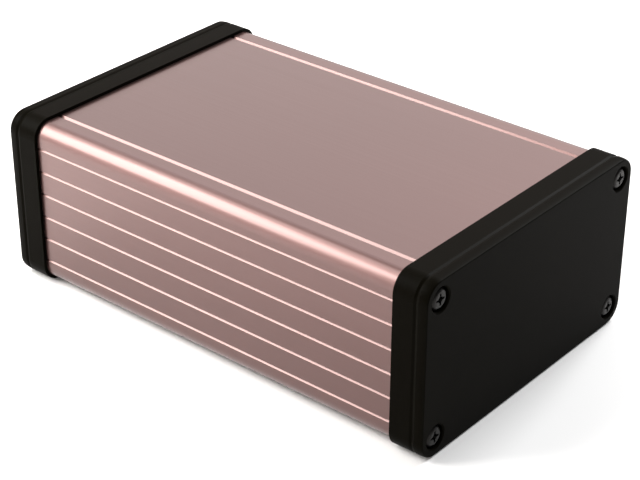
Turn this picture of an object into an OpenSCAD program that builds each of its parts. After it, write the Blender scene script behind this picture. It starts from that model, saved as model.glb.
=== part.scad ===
// Extruded aluminium enclosure with a slide-out cover, two moulded end caps and eight end screws.
// The length runs along X, the width along Y, and Z is up. The origin is the middle of the footprint,
// on the surface that the end caps stand on.

/* [Extrusion] */
// Length of the body extrusion and of the slide cover
body_l = 120; // [80:1:220]
// Outer width of the extrusion
body_w = 78; // [70:1:130]
// Outer height of the extrusion
body_h = 43; // [36:1:60]
// Thickness of the side walls and the floor
wall = 1.5; // [1.2:0.1:2]
// Outer radius of the four long corners
corner_r = 4; // [3:0.1:5]

/* [Side grooves] */
// Decorative grooves on each side wall
groove_count = 6; // [3:1:7]
// Distance from the lowest and highest groove to the outer face beyond it
groove_margin = 6; // [5:0.1:9]
// Width of a V groove at the surface
groove_w = 0.66; // [0.3:0.02:1]
// Depth of a V groove
groove_d = 0.33; // [0.2:0.01:0.6]

/* [Board slots] */
// Clear height of a slot, for a 1.6 mm board
slot_h = 1.8; // [1.2:0.1:2.4]
// Depth of a slot, measured from the side wall
slot_d = 2; // [1:0.1:3]
// Thickness of the ribs above and below a slot
slot_rib = 1.1; // [0.8:0.1:1.5]

/* [Screw ports] */
// Bore of the four screw ports, which the thread-forming screws bite into
port_bore = 2.9; // [2.3:0.1:3.6]
// Thickness of a port's wall round its bore
port_wall = 1.65; // [1.3:0.05:2]
// Width of the open slit along a port
port_slit = 1.2; // [0.6:0.1:1.6]

/* [Slide cover] */
// Thickness of the slide cover and of the lips beside it
cover_t = 1.5; // [1.2:0.1:2]
// Distance from the side wall's outer face to the inner edge of a lip
lip_w = 7.7; // [7:0.05:10]
// Open joint between a lip and the cover
cover_gap = 0.15; // [0.05:0.05:0.6]
// Chamfer on both sides of that joint
joint_chamfer = 0.5; // [0.1:0.05:0.8]
// Width of the ledge that carries the cover
ledge_w = 3; // [2:0.1:4]
// Thickness of the ledge and of the hooks under the cover
ledge_t = 1.2; // [1:0.1:1.6]
// Reach of a hook's foot under its ledge
hook_reach = 1.8; // [1:0.1:2.4]
// Sliding clearance between the hooks and the ledges
slide_fit = 0.25; // [0.1:0.05:0.4]

/* [End caps] */
// Length of extrusion that a cap's skirt covers
cap_lap = 5.4; // [3:0.1:8]
// Thickness of a cap's end wall under the screw heads
seat_t = 1.45; // [0.8:0.05:2]
// Distance that a cap stands proud of the extrusion all round
cap_proud = 0.9; // [0.8:0.05:2]
// Clearance between a skirt and the extrusion
cap_fit = 0.08; // [0.05:0.01:0.3]
// Width of the reveal groove round a cap, between its skirt and its end wall
reveal_w = 1.3; // [0.5:0.1:1.6]
// Depth of the reveal groove
reveal_d = 0.2; // [0.1:0.05:0.6]
// Width of the flat land beyond the reveal groove
land_w = 0.2; // [0.1:0.05:0.5]
// Distance that the crown falls inwards from the land to the end wall's outer edge
crown_fall = 0.2; // [0.1:0.05:0.6]
// Radius of that outer edge
face_edge_r = 0.25; // [0.15:0.05:0.6]
// Depth of the coring on the inside of the end wall
core_d = 1.3; // [0:0.1:2]
// Width of the land round the coring, which bears on the extrusion's end
core_land = 3; // [2:0.1:5]

/* [Screws] */
// Clearance between a screw and its port's bore
screw_fit = 0.05; // [0.02:0.01:0.1]
// Length of a screw below its head
screw_l = 9.5; // [6:0.5:16]
// Diameter of the pan head
head_d = 5.3; // [4.6:0.1:7]
// Height of the pan head
head_h = 1.9; // [1.4:0.1:2.4]
// Gap between a head and its pocket's wall
head_gap = 0.35; // [0.2:0.05:0.8]
// Distance from the top of a head out to the cap's outer face
head_sink = 0.2; // [0:0.05:1]
// Thickness of the cap between a pocket and the cap's outer side
pocket_rim = 1.95; // [1.6:0.05:3]
// Chamfer round the mouth of a pocket
pocket_chamfer = 0.3; // [0.1:0.05:0.5]
// Gap between a shank and the hole it passes through in the cap
shank_gap = 0.45; // [0.1:0.05:0.8]

/* [Hidden] */
ends = ["left", "right"];
port_names = ["front_lower", "rear_lower", "front_upper", "rear_upper"];

cap_r = corner_r + cap_proud;
cap_w = body_w + 2 * cap_proud;
cap_h = body_h + 2 * cap_proud;
pocket_depth = head_h + head_sink;
cap_depth = cap_lap + seat_t + pocket_depth;
pocket_d = head_d + 2 * head_gap;
screw_d = port_bore - 2 * screw_fit;
clear_d = screw_d + 2 * shank_gap;

lip_y = body_w / 2 - lip_w;
cover_w = 2 * (lip_y - cover_gap);
ledge_y = lip_y - ledge_w;
ledge_top = body_h - cover_t;
hook_y = ledge_y - slide_fit;
foot_top = ledge_top - ledge_t - slide_fit;
foot_bottom = foot_top - ledge_t;

port_d = port_bore + 2 * port_wall;
port_inset = pocket_d / 2 + pocket_rim - cap_proud;
port_y = body_w / 2 - port_inset;
port_zs = [port_inset, body_h - port_inset];
groove_zs = [for (i = [0 : groove_count - 1])
    groove_margin + i * (body_h - 2 * groove_margin) / (groove_count - 1)];
slot_zs = [for (i = [1 : groove_count - 2]) groove_zs[i]];
arc_steps = 5;
$fn = 64;

silver = [0.78, 0.77, 0.78];
black = [0.05, 0.05, 0.05];
steel_black = [0.09, 0.09, 0.1];

// Lays a section drawn in XY along the length: its X becomes the row's Y, and its Y becomes Z.
module along_x(length) {
    translate([-length / 2, 0, 0]) rotate([90, 0, 90]) linear_extrude(length) children();
}

module rounded_rect(w, h, r) {
    square([w - 2 * r, h], center = true);
    square([w, h - 2 * r], center = true);
    for (sx = [-1, 1]) for (sy = [-1, 1])
        translate([sx * (w / 2 - r), sy * (h / 2 - r)]) circle(r);
}

// Mirrors a section drawn for the +Y side onto both sides.
module both_sides() {
    children();
    mirror([1, 0]) children();
}

module side_grooves() {
    for (z = groove_zs)
        translate([body_w / 2, z])
            polygon([[0.1, groove_w / 2], [0.1, -groove_w / 2], [0, -groove_w / 2],
                     [-groove_d, 0], [0, groove_w / 2]]);
}

// A pair of ribs behind each inner groove, with a slot for a board's edge between them.
module board_ribs() {
    for (z = slot_zs) for (rib_z = [z - slot_h / 2 - slot_rib, z + slot_h / 2])
        translate([body_w / 2 - wall - slot_d, rib_z]) square([slot_d + 0.2, slot_rib]);
}

// The bore of a port with the slit that opens it towards the middle of the wall's height.
module port_opening(z) {
    toward = z < body_h / 2 ? 1 : -1;
    translate([port_y, z]) circle(d = port_bore);
    translate([port_y - port_slit / 2, toward > 0 ? z : z - port_d])
        square([port_slit, port_d]);
}

// What a chamfer takes off an edge at the origin, with the metal at -x and -y.
module chamfer_waste(c) {
    polygon([[-c - 0.1, 0.1], [0.1, 0.1], [0.1, -c - 0.1]]);
}

module extrusion_section() {
    difference() {
        union() {
            difference() {
                translate([0, body_h / 2]) rounded_rect(body_w, body_h, corner_r);
                translate([-body_w / 2 + wall, wall]) square([body_w - 2 * wall, body_h - wall - cover_t]);
            }
            both_sides() {
                for (z = port_zs) translate([port_y, z]) circle(d = port_d);
                board_ribs();
                translate([ledge_y, ledge_top - ledge_t]) square([port_y - ledge_y, ledge_t]);
                translate([lip_y, ledge_top - ledge_t]) square([port_y - lip_y, cover_t + ledge_t - 0.1]);
            }
        }
        translate([-lip_y, ledge_top]) square([2 * lip_y, cover_t + 1]);
        both_sides() {
            side_grooves();
            for (z = port_zs) port_opening(z);
            translate([lip_y, body_h]) mirror([1, 0]) chamfer_waste(joint_chamfer);
        }
    }
}

module body_extrusion() {
    color(silver) translate([0, 0, cap_proud]) along_x(body_l) extrusion_section();
}

module cover_section() {
    difference() {
        union() {
            translate([-cover_w / 2, ledge_top]) square([cover_w, cover_t]);
            both_sides() {
                translate([hook_y - ledge_t, foot_bottom]) square([ledge_t, ledge_top + 0.2 - foot_bottom]);
                translate([hook_y - 0.1, foot_bottom]) square([hook_reach + 0.1, ledge_t]);
            }
        }
        both_sides() translate([cover_w / 2, body_h]) chamfer_waste(joint_chamfer);
    }
}

module slide_cover() {
    color(silver) translate([0, 0, cap_proud]) along_x(body_l) cover_section();
}

// Outline of a cap's wall as [distance inwards, height]: a straight skirt, the reveal groove, the land,
// the crown, whose slope grows to edge_slope, and the edge radius that takes the slope on to the flat face.
crown_start = cap_lap + reveal_w + land_w;
crown_l = cap_depth - face_edge_r - crown_start;
edge_slope = atan(2 * crown_fall / crown_l);
crown_end = crown_start + crown_l;
edge_r = face_edge_r / (1 - sin(edge_slope));
function crown_point(t) = [crown_fall * t * t, crown_start + crown_l * t];
function edge_point(a) = [crown_fall + edge_r * (cos(edge_slope) - cos(a)), crown_end + edge_r * (sin(a) - sin(edge_slope))];
cap_outline = concat(
    [[0, 0], [0, cap_lap], [reveal_d, cap_lap + reveal_w / 2], [0, cap_lap + reveal_w]],
    [for (i = [0 : arc_steps]) crown_point(i / arc_steps)],
    [for (i = [1 : arc_steps]) edge_point(edge_slope + (90 - edge_slope) * i / arc_steps)]
);

// Half of a cap's section, from its middle plane out to the outline at half-width w.
module wall_profile(w) {
    polygon(concat([[0, 0]], [for (p = cap_outline) [w - p[0], p[1]]], [[0, cap_depth]]));
}

// Solid cap with its open side down at z = 0 and its outer face up.
module cap_blank() {
    for (sx = [0, 1]) mirror([sx, 0, 0]) {
        rotate([90, 0, 0]) translate([0, 0, -(cap_h / 2 - cap_r)])
            linear_extrude(cap_h - 2 * cap_r) wall_profile(cap_w / 2);
        for (sy = [0, 1]) mirror([0, sy, 0])
            translate([cap_w / 2 - cap_r, cap_h / 2 - cap_r, 0])
                rotate_extrude(angle = 90) wall_profile(cap_r);
    }
    for (sy = [0, 1]) mirror([0, sy, 0])
        rotate([90, 0, 90]) translate([0, 0, -(cap_w / 2 - cap_r)])
            linear_extrude(cap_w - 2 * cap_r) wall_profile(cap_h / 2);
}

// Places children on the four screw axes of a cap that is centred on the origin.
module at_ports() {
    for (sx = [-1, 1]) for (z = port_zs) translate([sx * port_y, z - body_h / 2, 0]) children();
}

module screw_pocket() {
    translate([0, 0, -1]) cylinder(h = cap_depth + 2, d = clear_d);
    translate([0, 0, cap_lap + seat_t]) cylinder(h = pocket_depth + 1, d = pocket_d);
    translate([0, 0, cap_depth - pocket_chamfer])
        cylinder(h = pocket_chamfer + 0.2, d1 = pocket_d, d2 = pocket_d + 2 * pocket_chamfer + 0.4);
}

// Coring that lightens the end wall, kept clear of the screw pockets' walls.
module coring() {
    translate([0, 0, cap_lap - 0.5]) linear_extrude(core_d + 0.5) difference() {
        square([body_w - 2 * core_land, body_h - 2 * core_land], center = true);
        at_ports() square(pocket_d + 2 * wall, center = true);
    }
}

module cap_local() {
    difference() {
        cap_blank();
        translate([0, 0, -1]) linear_extrude(cap_lap + 1)
            rounded_rect(body_w + 2 * cap_fit, body_h + 2 * cap_fit, corner_r + cap_fit);
        if (core_d > 0) coring();
        at_ports() screw_pocket();
    }
}

// Stands a cap or a screw, drawn with its outer end up, on the given end of the body.
module on_end(side) {
    mirror([side == "left" ? 1 : 0, 0, 0])
        translate([body_l / 2 - cap_lap, 0, cap_proud + body_h / 2]) rotate([90, 0, 90]) children();
}

module end_cap(side) {
    color(black) on_end(side) cap_local();
}

// Cross recess, cut from the top of the head.
module cross_recess() {
    for (a = [0, 90]) rotate(a)
        translate([-head_d * 0.27, -head_d * 0.05, head_h * 0.4]) cube([head_d * 0.54, head_d * 0.1, head_h]);
    translate([0, 0, head_h * 0.2]) cylinder(h = head_h, d1 = head_d * 0.1, d2 = head_d * 0.34);
}

// Pan head: a low wall under a domed crown, turned about the screw's axis.
dome_r = head_h * 0.62;
function dome_point(t) = [head_d / 2 - dome_r * (1 - cos(90 * t)), head_h - dome_r * (1 - sin(90 * t))];
module pan_head() {
    difference() {
        rotate_extrude() polygon(concat([[0, 0], [head_d / 2, 0]],
            [for (i = [0 : arc_steps]) dome_point(i / arc_steps)], [[0, head_h]]));
        cross_recess();
    }
}

module screw_local() {
    tip = screw_d * 0.6;
    translate([0, 0, cap_lap + seat_t]) {
        pan_head();
        translate([0, 0, -screw_l + tip]) cylinder(h = screw_l - tip + 0.3, d = screw_d);
        translate([0, 0, -screw_l]) cylinder(h = tip, d1 = screw_d * 0.35, d2 = screw_d);
    }
}

module end_screw(side, port) {
    front = port == "front_lower" || port == "front_upper";
    lower = port == "front_lower" || port == "rear_lower";
    color(steel_black) on_end(side)
        translate([front ? -port_y : port_y, port_zs[lower ? 0 : 1] - body_h / 2, 0]) screw_local();
}

body_extrusion();
slide_cover();
for (e = ends) {
    end_cap(e);
    for (p = port_names)
        end_screw(e, p);
}
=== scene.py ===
"""Finishes and studio for an extruded aluminium enclosure with moulded end caps."""

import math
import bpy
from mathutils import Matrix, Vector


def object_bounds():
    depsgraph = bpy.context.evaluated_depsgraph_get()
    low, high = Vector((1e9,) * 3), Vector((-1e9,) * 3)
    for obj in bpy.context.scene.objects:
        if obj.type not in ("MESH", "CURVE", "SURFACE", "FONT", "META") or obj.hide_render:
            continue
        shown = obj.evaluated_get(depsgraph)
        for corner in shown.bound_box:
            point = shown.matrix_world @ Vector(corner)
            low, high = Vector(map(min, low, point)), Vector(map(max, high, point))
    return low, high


bl_info = {
    "name": "Extruded aluminium enclosure",
    "version": (1, 0, 0),
    "blender": (4, 5, 0),
    "location": "View3D > Sidebar > Enclosure",
    "description": "Gives the packed enclosure its finishes and sets up its studio",
    "category": "Add Mesh",
}

import bpy
from bpy.props import FloatProperty, FloatVectorProperty, PointerProperty
from mathutils import Vector

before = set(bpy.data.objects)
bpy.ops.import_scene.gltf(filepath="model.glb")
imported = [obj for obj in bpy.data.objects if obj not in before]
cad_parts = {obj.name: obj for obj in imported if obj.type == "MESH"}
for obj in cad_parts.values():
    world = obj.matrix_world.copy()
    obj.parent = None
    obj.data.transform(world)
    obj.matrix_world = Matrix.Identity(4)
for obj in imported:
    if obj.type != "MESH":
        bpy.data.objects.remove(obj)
CAD_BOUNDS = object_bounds()
MM = 0.001

CAPS = [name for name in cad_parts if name.endswith("_end_cap")]
SCREWS = [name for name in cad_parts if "_screw_" in name]

# Where a Mix node keeps its colour sockets, beside those of its other data types
MIX_COLOUR_A = 6
MIX_COLOUR_B = 7
MIX_COLOUR_RESULT = 2

# Frequencies of the textures, in cycles per metre for X, Y and Z
ALONG_PROFILE = 12.0
METAL_GRAIN = (5200.0, 5200.0, 5200.0)
METAL_CLOUDS = (22.0, 60.0, 60.0)
PLASTIC_PATCHES = (70.0, 70.0, 70.0)
SCREW_MARKS = (2600.0, 2600.0, 2600.0)
PAPER_CLOUDS = (40.0, 40.0, 40.0)

# Sensor width in millimetres; floor size and nearest visible distance in metres
SENSOR_WIDTH = 36.0
FLOOR_SIZE = 6.0
NEAR_CLIP = 0.01

# Each light: the direction it stands in, its distance in metres, its side in metres,
# its power in watts and its colour.
SOFTBOXES = {
    "key": ((-0.60, -0.52, 0.66), 0.45, 0.28, 3.0, (1.0, 0.98, 0.95)),
    "low": ((-0.558, -0.80, 0.20), 0.6, 0.3, 0.8, (1.0, 0.87, 0.84)),
    "bridge": ((-0.558, -0.05, 0.82), 1.0, 0.5, 3.6, (1.0, 0.93, 0.90)),
    "overhead": ((-0.558, 0.663, 0.55), 1.2, 0.9, 4.4, (1.0, 0.90, 0.88)),
    "front": ((0.62, -0.62, 0.55), 1.5, 1.2, 3.0, (1.0, 1.0, 1.0)),
    "rear": ((0.1, 0.72, 0.65), 1.1, 0.5, 16.0, (1.0, 1.0, 1.0)),
}


# ---------------------------------------------------------------- shader helpers


def connect(tree, value, socket):
    """Feeds a socket from a number, a colour, a vector or another socket."""
    if isinstance(value, Wire):
        tree.links.new(value.socket, socket)
    else:
        socket.default_value = value


class Wire:
    """An output socket, so that maths on it reads as a plain expression."""

    def __init__(self, tree, socket):
        self.tree = tree
        self.socket = socket

    def maths(self, operation, first, second):
        node = self.tree.nodes.new("ShaderNodeMath")
        node.operation = operation
        connect(self.tree, first, node.inputs[0])
        connect(self.tree, second, node.inputs[1])
        return Wire(self.tree, node.outputs[0])

    def __add__(self, other):
        return self.maths("ADD", self, other)

    def __radd__(self, other):
        return self.maths("ADD", other, self)

    def __mul__(self, other):
        return self.maths("MULTIPLY", self, other)


class Finish:
    """A material being made: its Principled shader, and one way to add any other node."""

    def __init__(self, name):
        self.material = bpy.data.materials.new(name)
        self.material.use_nodes = True
        self.tree = self.material.node_tree
        self.shader = self.tree.nodes["Principled BSDF"]
        self.place = self.node("ShaderNodeTexCoord", output="Object")

    def node(self, kind, inputs=(), output=0):
        """Adds a node, feeds its inputs, and returns one output."""
        node = self.tree.nodes.new(kind)
        for name, value in dict(inputs).items():
            connect(self.tree, value, node.inputs[name])
        return Wire(self.tree, node.outputs[output])

    def noise(self, frequency, detail=2.0, roughness=0.5):
        """Noise from 0 to 1 whose frequency, in cycles per metre, is given for X, Y and Z."""
        place = self.node("ShaderNodeMapping", inputs={"Vector": self.place, "Scale": frequency})
        inputs = {"Vector": place, "Scale": 1.0, "Detail": detail, "Roughness": roughness}
        return self.node("ShaderNodeTexNoise", inputs=inputs, output="Fac")

    def blend(self, factor, first, second):
        """Mixes two colours by a factor."""
        node = self.tree.nodes.new("ShaderNodeMix")
        node.data_type = "RGBA"
        connect(self.tree, factor, node.inputs["Factor"])
        connect(self.tree, first, node.inputs[MIX_COLOUR_A])
        connect(self.tree, second, node.inputs[MIX_COLOUR_B])
        return Wire(self.tree, node.outputs[MIX_COLOUR_RESULT])

    def mottle(self, factor, colour, low, high=1.0):
        """The colour, scaled from low to high as the factor goes from 0 to 1."""
        shades = [tuple(share * part for part in colour) + (1.0,) for share in (low, high)]
        return self.blend(factor, *shades)

    def bump(self, height, distance, strength):
        """A bump whose height map, from 0 to 1, stands for the given distance in metres."""
        inputs = {"Height": height, "Distance": distance, "Strength": strength}
        return self.node("ShaderNodeBump", inputs=inputs, output="Normal")

    def set(self, **inputs):
        """Feeds the shader's sockets; an underscore in a name stands for a space."""
        for name, value in inputs.items():
            connect(self.tree, value, self.shader.inputs[name.replace("_", " ")])


def wear(piece, material):
    """Puts one material on a whole piece."""
    piece.data.materials.clear()
    piece.data.materials.append(material)
    for face in piece.data.polygons:
        face.material_index = 0


# ---------------------------------------------------------------- settings


class AluminiumSettings(bpy.types.PropertyGroup):
    """The anodised finish of the extrusion and its cover."""

    colour: FloatVectorProperty(
        name="Colour", description="Colour of the anodised film",
        subtype="COLOR", size=3, min=0.0, max=1.0, default=(0.144, 0.080, 0.074))
    # Painted shade: a darker copy of the film for the slide cover, standing in for the brighter
    # light that falls on the extrusion's lips beside it.
    cover_painted_shade: FloatProperty(
        name="Cover shade", description="How dark the slide cover is beside the extrusion",
        subtype="FACTOR", min=0.0, max=1.0, default=0.86)
    roughness: FloatProperty(
        name="Roughness", description="Roughness of the satin surface",
        subtype="FACTOR", min=0.0, max=1.0, default=0.42)
    seal_weight: FloatProperty(
        name="Seal", description="How much of the clear sealed film over the metal shows",
        subtype="FACTOR", min=0.0, max=1.0, default=0.7)
    seal_roughness: FloatProperty(
        name="Seal roughness", description="Roughness of the clear sealed film",
        subtype="FACTOR", min=0.0, max=1.0, default=0.22)
    line_spacing: FloatProperty(
        name="Line spacing", description="Typical distance between the fine lines left by the die",
        subtype="DISTANCE", unit="LENGTH", min=0.05 * MM, default=0.35 * MM)
    line_depth: FloatProperty(
        name="Line depth", description="Depth of those lines",
        subtype="DISTANCE", unit="LENGTH", min=0.0, default=0.006 * MM)


class PlasticSettings(bpy.types.PropertyGroup):
    """The moulded black plastic of the end caps."""

    colour: FloatVectorProperty(
        name="Colour", description="Colour of the plastic",
        subtype="COLOR", size=3, min=0.0, max=1.0, default=(0.0024, 0.0020, 0.0010))
    roughness: FloatProperty(
        name="Roughness", description="Roughness of the moulded surface",
        subtype="FACTOR", min=0.0, max=1.0, default=0.42)
    shine: FloatProperty(
        name="Shine", description="Strength of the reflections from the plastic",
        subtype="FACTOR", min=0.0, max=1.0, default=0.015)
    grain: FloatProperty(
        name="Grain", description="Size of the moulded texture's grains",
        subtype="DISTANCE", unit="LENGTH", min=0.05 * MM, default=0.3 * MM)
    grain_depth: FloatProperty(
        name="Grain depth", description="Depth of the moulded texture",
        subtype="DISTANCE", unit="LENGTH", min=0.0, default=0.01 * MM)


class ScrewSettings(bpy.types.PropertyGroup):
    """The black-finished steel of the end screws."""

    colour: FloatVectorProperty(
        name="Colour", description="Colour of the black finish",
        subtype="COLOR", size=3, min=0.0, max=1.0, default=(0.011, 0.010, 0.009))
    roughness: FloatProperty(
        name="Roughness", description="Roughness of the black finish",
        subtype="FACTOR", min=0.0, max=1.0, default=0.35)
    mark_depth: FloatProperty(
        name="Mark depth", description="Depth of the small marks in the finish",
        subtype="DISTANCE", unit="LENGTH", min=0.0, default=0.004 * MM)


class StudioSettings(bpy.types.PropertyGroup):
    """The floor, the lights and the camera."""

    azimuth: FloatProperty(
        name="Azimuth", description="Direction of the camera about the enclosure",
        subtype="ANGLE", unit="ROTATION", default=math.radians(40.10))
    elevation: FloatProperty(
        name="Elevation", description="Height of the camera above the horizon",
        subtype="ANGLE", unit="ROTATION", default=math.radians(29.91))
    distance: FloatProperty(
        name="Distance", description="Distance from the camera to the point it looks at",
        subtype="DISTANCE", unit="LENGTH", min=0.1, default=446.7 * MM)
    lens: FloatProperty(
        name="Lens", description="Focal length in millimetres, on a 36 mm sensor",
        min=20.0, default=103.14)
    shift: FloatVectorProperty(
        name="Shift", description="Sideways and upward shift of the lens, as shares of the sensor",
        size=2, default=(0.019, 0.0071))
    aim: FloatVectorProperty(
        name="Aim", description="The point that the camera looks at",
        subtype="XYZ", unit="LENGTH", size=3, default=(1.2 * MM, -3.8 * MM, 16.3 * MM))
    air: FloatProperty(
        name="Air", description="Brightness of the white surroundings",
        min=0.0, default=0.15)
    floor_colour: FloatVectorProperty(
        name="Floor", description="Colour of the floor",
        subtype="COLOR", size=3, min=0.0, max=1.0, default=(0.92, 0.92, 0.92))


# ---------------------------------------------------------------- operators


class ENCLOSURE_OT_aluminium(bpy.types.Operator):
    """Finish the extrusion and the slide cover as satin anodised aluminium"""

    bl_idname = "enclosure.aluminium"
    bl_label = "Anodised aluminium"

    def execute(self, context):
        look = context.scene.enclosure_aluminium
        # The slide cover's film is darkened by the painted shade factor; the extrusion's film is
        # not.
        for name, shade in (("body_extrusion", 1.0), ("slide_cover", look.cover_painted_shade)):
            finish = self.anodise(look, name, tuple(shade * c for c in look.colour))
            wear(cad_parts[name], finish.material)
        return {"FINISHED"}

    def anodise(self, look, name, film):
        """Makes the satin film, with the die's lines along the profile, in the given colour; for
        the slide cover that colour is darkened as painted shade.
        """
        finish = Finish("anodised_" + name)
        across = 1.0 / look.line_spacing
        lines = finish.noise((ALONG_PROFILE, across, across), detail=3.0, roughness=0.6)
        grain = finish.noise(METAL_GRAIN, detail=1.0)
        clouds = finish.noise(METAL_CLOUDS)
        finish.set(
            Base_Color=finish.mottle(clouds, film, low=0.93),
            Metallic=1.0,
            Roughness=look.roughness - 0.08 + lines * 0.10 + grain * 0.06,
            Coat_Weight=look.seal_weight,
            Coat_IOR=1.5,
            Coat_Roughness=look.seal_roughness,
            Normal=finish.bump(lines + grain * 0.4, look.line_depth, 0.6),
        )
        return finish


class ENCLOSURE_OT_caps(bpy.types.Operator):
    """Finish the end caps as moulded black plastic"""

    bl_idname = "enclosure.caps"
    bl_label = "End caps"

    def execute(self, context):
        look = context.scene.enclosure_plastic
        finish = Finish("cap_plastic")
        across = 1.0 / look.grain
        grain = finish.noise((across, across, across), roughness=0.6)
        patches = finish.noise(PLASTIC_PATCHES, detail=3.0)
        finish.set(
            Base_Color=finish.mottle(patches, look.colour, low=0.8, high=1.2),
            Roughness=look.roughness - 0.05 + grain * 0.10,
            Specular_IOR_Level=look.shine,
            Normal=finish.bump(grain, look.grain_depth, 0.5),
        )
        for name in CAPS:
            wear(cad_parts[name], finish.material)
        return {"FINISHED"}


class ENCLOSURE_OT_screws(bpy.types.Operator):
    """Finish the end screws in black"""

    bl_idname = "enclosure.screws"
    bl_label = "End screws"

    def execute(self, context):
        look = context.scene.enclosure_screws
        finish = Finish("black_screws")
        marks = finish.noise(SCREW_MARKS, detail=3.0)
        finish.set(
            Base_Color=finish.mottle(marks, look.colour, low=0.7),
            Metallic=0.85,
            Roughness=look.roughness - 0.05 + marks * 0.12,
            Normal=finish.bump(marks, look.mark_depth, 0.4),
        )
        for name in SCREWS:
            wear(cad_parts[name], finish.material)
        return {"FINISHED"}


def softbox(name, towards, distance, size, watts, colour):
    """A square area light that faces the origin from the given direction."""
    lamp = bpy.data.lights.new(name, "AREA")
    lamp.shape = "SQUARE"
    lamp.size = size
    lamp.energy = watts
    lamp.color = colour
    holder = bpy.data.objects.new(name, lamp)
    direction = Vector(towards).normalized()
    holder.location = direction * distance
    holder.rotation_mode = "QUATERNION"
    holder.rotation_quaternion = direction.to_track_quat("Z", "Y")
    bpy.context.scene.collection.objects.link(holder)


class ENCLOSURE_OT_studio(bpy.types.Operator):
    """Add a pale floor, soft lights and a camera"""

    bl_idname = "enclosure.studio"
    bl_label = "Studio"

    def execute(self, context):
        look = context.scene.enclosure_studio
        bpy.ops.object.select_all(action="DESELECT")
        bpy.ops.mesh.primitive_plane_add(size=FLOOR_SIZE, location=(0.0, 0.0, CAD_BOUNDS[0].z))
        floor = context.object
        floor.name = "studio_floor"
        paper = Finish("studio_paper")
        paper.set(
            Base_Color=paper.mottle(paper.noise(PAPER_CLOUDS), look.floor_colour, low=0.995),
            Roughness=0.8,
            Specular_IOR_Level=0.2,
        )
        wear(floor, paper.material)

        world = bpy.data.worlds.new("studio_air")
        world.use_nodes = True
        air = world.node_tree.nodes["Background"].inputs
        air["Color"].default_value = (1.0, 1.0, 1.0, 1.0)
        air["Strength"].default_value = look.air
        context.scene.world = world
        for name, box in SOFTBOXES.items():
            softbox(name, *box)

        lens = bpy.data.cameras.new("camera")
        lens.lens = look.lens
        lens.sensor_width = SENSOR_WIDTH
        lens.shift_x, lens.shift_y = look.shift
        lens.clip_start = NEAR_CLIP
        camera = bpy.data.objects.new("camera", lens)
        back = Vector((
            math.sin(look.azimuth) * math.cos(look.elevation),
            -math.cos(look.azimuth) * math.cos(look.elevation),
            math.sin(look.elevation),
        ))
        camera.location = Vector(look.aim) + back * look.distance
        camera.rotation_mode = "QUATERNION"
        camera.rotation_quaternion = (-back).to_track_quat("-Z", "Y")
        context.scene.collection.objects.link(camera)
        context.scene.camera = camera
        context.scene.view_settings.view_transform = "Standard"
        return {"FINISHED"}


class ENCLOSURE_PT_panel(bpy.types.Panel):
    """Lists the enclosure's steps and their settings"""

    bl_idname = "ENCLOSURE_PT_panel"
    bl_label = "Enclosure"
    bl_space_type = "VIEW_3D"
    bl_region_type = "UI"
    bl_category = "Enclosure"

    def draw(self, context):
        for step, group in STEPS:
            box = self.layout.box()
            box.operator(step.bl_idname)
            settings = getattr(context.scene, group)
            for name in settings.__annotations__:
                box.prop(settings, name)


STEPS = [
    (ENCLOSURE_OT_aluminium, "enclosure_aluminium"),
    (ENCLOSURE_OT_caps, "enclosure_plastic"),
    (ENCLOSURE_OT_screws, "enclosure_screws"),
    (ENCLOSURE_OT_studio, "enclosure_studio"),
]
GROUPS = {
    "enclosure_aluminium": AluminiumSettings,
    "enclosure_plastic": PlasticSettings,
    "enclosure_screws": ScrewSettings,
    "enclosure_studio": StudioSettings,
}


def register():
    for name, group in GROUPS.items():
        bpy.utils.register_class(group)
        setattr(bpy.types.Scene, name, PointerProperty(type=group))
    for step, _ in STEPS:
        bpy.utils.register_class(step)
    bpy.utils.register_class(ENCLOSURE_PT_panel)


def unregister():
    bpy.utils.unregister_class(ENCLOSURE_PT_panel)
    for step, _ in reversed(STEPS):
        bpy.utils.unregister_class(step)
    for name, group in reversed(GROUPS.items()):
        delattr(bpy.types.Scene, name)
        bpy.utils.unregister_class(group)


def main():
    register()
    bpy.ops.enclosure.aluminium()
    bpy.ops.enclosure.caps()
    bpy.ops.enclosure.screws()
    bpy.ops.enclosure.studio()


if __name__ == "__main__":
    main()
